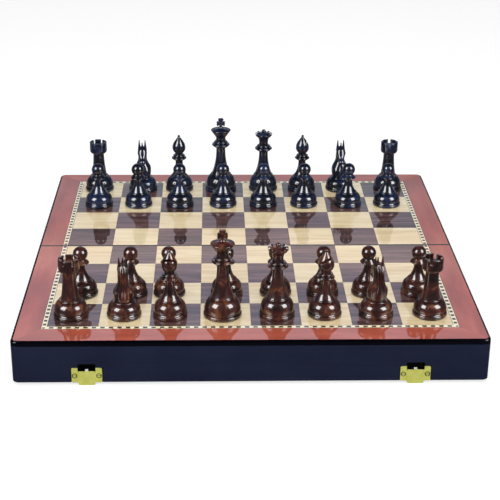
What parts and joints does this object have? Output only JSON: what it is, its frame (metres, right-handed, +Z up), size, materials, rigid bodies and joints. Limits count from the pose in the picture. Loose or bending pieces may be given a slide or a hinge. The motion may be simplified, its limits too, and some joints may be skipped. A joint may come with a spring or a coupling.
{
  "type": "folding chess box",
  "caption": "Two shallow lacquered trays hinged at their rims and laid open as an inlaid chessboard, with a full set of turned pieces and sprung brass latches.",
  "frame": {"origin": "middle of the underside of the open board, on the surface it lies on", "axes": "+X to the right along the fold, +Y from the brown player's side to the black player's side, +Z up"},
  "size_m": [0.4, 0.4022, 0.1191],
  "materials": {
    "lacquered_wood": "black lacquer on wood, full gloss",
    "light_veneer": "pale maple veneer under clear full gloss lacquer",
    "dark_veneer": "dark brown walnut veneer under clear full gloss lacquer",
    "border_veneer": "reddish brown veneer under clear full gloss lacquer",
    "inlay_banding": "pale banding with a row of dark blocks, under clear gloss lacquer",
    "felt": "dark green felt",
    "divider_wood": "satin brown wood",
    "brass": "polished brass",
    "spring_steel": "bright rolled spring steel",
    "brown_pieces": "dark brown stained wood with a marbled grain, full gloss lacquer",
    "black_pieces": "black full gloss lacquer"
  },
  "bodies": {
    "front_half": {"front_frame": "lacquered_wood", "front_panel": "lacquered_wood", "front_light_squares": "light_veneer", "front_dark_squares": "dark_veneer", "front_border_band": "border_veneer", "front_inlay_strip": "inlay_banding", "front_lining": "felt", "front_dividers": "divider_wood", "front_hinge_leaves": "brass", "hinge_pins": "brass", "latch_plates": "brass", "latch_pins": "brass", "latch_springs": "spring_steel", "front_screws": "brass"},
    "rear_half": {"rear_frame": "lacquered_wood", "rear_panel": "lacquered_wood", "rear_light_squares": "light_veneer", "rear_dark_squares": "dark_veneer", "rear_border_band": "border_veneer", "rear_inlay_strip": "inlay_banding", "rear_lining": "felt", "rear_dividers": "divider_wood", "rear_hinge_leaves": "brass", "keepers": "brass", "rear_screws": "brass"},
    "left_flap": {"left_latch_flap": "brass"},
    "right_flap": {"right_latch_flap": "brass"},
    "brown_rook_a": {"brown_rook_a": "brown_pieces"},
    "brown_knight_b": {"brown_knight_b": "brown_pieces"},
    "brown_bishop_c": {"brown_bishop_c": "brown_pieces"},
    "brown_king_d": {"brown_king_d": "brown_pieces"},
    "brown_queen_e": {"brown_queen_e": "brown_pieces"},
    "brown_bishop_f": {"brown_bishop_f": "brown_pieces"},
    "brown_knight_g": {"brown_knight_g": "brown_pieces"},
    "brown_rook_h": {"brown_rook_h": "brown_pieces"},
    "brown_pawn_a": {"brown_pawn_a": "brown_pieces"},
    "brown_pawn_b": {"brown_pawn_b": "brown_pieces"},
    "brown_pawn_c": {"brown_pawn_c": "brown_pieces"},
    "brown_pawn_d": {"brown_pawn_d": "brown_pieces"},
    "brown_pawn_e": {"brown_pawn_e": "brown_pieces"},
    "brown_pawn_f": {"brown_pawn_f": "brown_pieces"},
    "brown_pawn_g": {"brown_pawn_g": "brown_pieces"},
    "brown_pawn_h": {"brown_pawn_h": "brown_pieces"},
    "black_pawn_a": {"black_pawn_a": "black_pieces"},
    "black_pawn_b": {"black_pawn_b": "black_pieces"},
    "black_pawn_c": {"black_pawn_c": "black_pieces"},
    "black_pawn_d": {"black_pawn_d": "black_pieces"},
    "black_pawn_e": {"black_pawn_e": "black_pieces"},
    "black_pawn_f": {"black_pawn_f": "black_pieces"},
    "black_pawn_g": {"black_pawn_g": "black_pieces"},
    "black_pawn_h": {"black_pawn_h": "black_pieces"},
    "black_rook_a": {"black_rook_a": "black_pieces"},
    "black_knight_b": {"black_knight_b": "black_pieces"},
    "black_bishop_c": {"black_bishop_c": "black_pieces"},
    "black_king_d": {"black_king_d": "black_pieces"},
    "black_queen_e": {"black_queen_e": "black_pieces"},
    "black_bishop_f": {"black_bishop_f": "black_pieces"},
    "black_knight_g": {"black_knight_g": "black_pieces"},
    "black_rook_h": {"black_rook_h": "black_pieces"}
  },
  "joints": [
    {"name": "fold", "type": "hinge", "parent": "front_half", "child": "rear_half", "pos_m": [0, 0, 0.002], "axis": [1, 0, 0], "range_deg": [-180, 0]},
    {"name": "left_latch", "type": "hinge", "parent": "front_half", "child": "left_flap", "pos_m": [-0.1375, -0.1981, 0.0081], "axis": [-1, 0, 0], "range_deg": [0, 14], "stiffness_Nm_per_rad": 0.04},
    {"name": "right_latch", "type": "hinge", "parent": "front_half", "child": "right_flap", "pos_m": [0.1375, -0.1981, 0.0081], "axis": [-1, 0, 0], "range_deg": [0, 14], "stiffness_Nm_per_rad": 0.04},
    {"name": "lift_brown_rook_a", "type": "slide", "parent": "front_half", "child": "brown_rook_a", "axis": [0, 0, 1], "range_m": [0, 0.12]},
    {"name": "lift_brown_knight_b", "type": "slide", "parent": "front_half", "child": "brown_knight_b", "axis": [0, 0, 1], "range_m": [0, 0.12]},
    {"name": "lift_brown_bishop_c", "type": "slide", "parent": "front_half", "child": "brown_bishop_c", "axis": [0, 0, 1], "range_m": [0, 0.12]},
    {"name": "lift_brown_king_d", "type": "slide", "parent": "front_half", "child": "brown_king_d", "axis": [0, 0, 1], "range_m": [0, 0.12]},
    {"name": "lift_brown_queen_e", "type": "slide", "parent": "front_half", "child": "brown_queen_e", "axis": [0, 0, 1], "range_m": [0, 0.12]},
    {"name": "lift_brown_bishop_f", "type": "slide", "parent": "front_half", "child": "brown_bishop_f", "axis": [0, 0, 1], "range_m": [0, 0.12]},
    {"name": "lift_brown_knight_g", "type": "slide", "parent": "front_half", "child": "brown_knight_g", "axis": [0, 0, 1], "range_m": [0, 0.12]},
    {"name": "lift_brown_rook_h", "type": "slide", "parent": "front_half", "child": "brown_rook_h", "axis": [0, 0, 1], "range_m": [0, 0.12]},
    {"name": "lift_brown_pawn_a", "type": "slide", "parent": "front_half", "child": "brown_pawn_a", "axis": [0, 0, 1], "range_m": [0, 0.12]},
    {"name": "lift_brown_pawn_b", "type": "slide", "parent": "front_half", "child": "brown_pawn_b", "axis": [0, 0, 1], "range_m": [0, 0.12]},
    {"name": "lift_brown_pawn_c", "type": "slide", "parent": "front_half", "child": "brown_pawn_c", "axis": [0, 0, 1], "range_m": [0, 0.12]},
    {"name": "lift_brown_pawn_d", "type": "slide", "parent": "front_half", "child": "brown_pawn_d", "axis": [0, 0, 1], "range_m": [0, 0.12]},
    {"name": "lift_brown_pawn_e", "type": "slide", "parent": "front_half", "child": "brown_pawn_e", "axis": [0, 0, 1], "range_m": [0, 0.12]},
    {"name": "lift_brown_pawn_f", "type": "slide", "parent": "front_half", "child": "brown_pawn_f", "axis": [0, 0, 1], "range_m": [0, 0.12]},
    {"name": "lift_brown_pawn_g", "type": "slide", "parent": "front_half", "child": "brown_pawn_g", "axis": [0, 0, 1], "range_m": [0, 0.12]},
    {"name": "lift_brown_pawn_h", "type": "slide", "parent": "front_half", "child": "brown_pawn_h", "axis": [0, 0, 1], "range_m": [0, 0.12]},
    {"name": "lift_black_pawn_a", "type": "slide", "parent": "rear_half", "child": "black_pawn_a", "axis": [0, 0, 1], "range_m": [0, 0.12]},
    {"name": "lift_black_pawn_b", "type": "slide", "parent": "rear_half", "child": "black_pawn_b", "axis": [0, 0, 1], "range_m": [0, 0.12]},
    {"name": "lift_black_pawn_c", "type": "slide", "parent": "rear_half", "child": "black_pawn_c", "axis": [0, 0, 1], "range_m": [0, 0.12]},
    {"name": "lift_black_pawn_d", "type": "slide", "parent": "rear_half", "child": "black_pawn_d", "axis": [0, 0, 1], "range_m": [0, 0.12]},
    {"name": "lift_black_pawn_e", "type": "slide", "parent": "rear_half", "child": "black_pawn_e", "axis": [0, 0, 1], "range_m": [0, 0.12]},
    {"name": "lift_black_pawn_f", "type": "slide", "parent": "rear_half", "child": "black_pawn_f", "axis": [0, 0, 1], "range_m": [0, 0.12]},
    {"name": "lift_black_pawn_g", "type": "slide", "parent": "rear_half", "child": "black_pawn_g", "axis": [0, 0, 1], "range_m": [0, 0.12]},
    {"name": "lift_black_pawn_h", "type": "slide", "parent": "rear_half", "child": "black_pawn_h", "axis": [0, 0, 1], "range_m": [0, 0.12]},
    {"name": "lift_black_rook_a", "type": "slide", "parent": "rear_half", "child": "black_rook_a", "axis": [0, 0, 1], "range_m": [0, 0.12]},
    {"name": "lift_black_knight_b", "type": "slide", "parent": "rear_half", "child": "black_knight_b", "axis": [0, 0, 1], "range_m": [0, 0.12]},
    {"name": "lift_black_bishop_c", "type": "slide", "parent": "rear_half", "child": "black_bishop_c", "axis": [0, 0, 1], "range_m": [0, 0.12]},
    {"name": "lift_black_king_d", "type": "slide", "parent": "rear_half", "child": "black_king_d", "axis": [0, 0, 1], "range_m": [0, 0.12]},
    {"name": "lift_black_queen_e", "type": "slide", "parent": "rear_half", "child": "black_queen_e", "axis": [0, 0, 1], "range_m": [0, 0.12]},
    {"name": "lift_black_bishop_f", "type": "slide", "parent": "rear_half", "child": "black_bishop_f", "axis": [0, 0, 1], "range_m": [0, 0.12]},
    {"name": "lift_black_knight_g", "type": "slide", "parent": "rear_half", "child": "black_knight_g", "axis": [0, 0, 1], "range_m": [0, 0.12]},
    {"name": "lift_black_rook_h", "type": "slide", "parent": "rear_half", "child": "black_rook_h", "axis": [0, 0, 1], "range_m": [0, 0.12]}
  ]
}
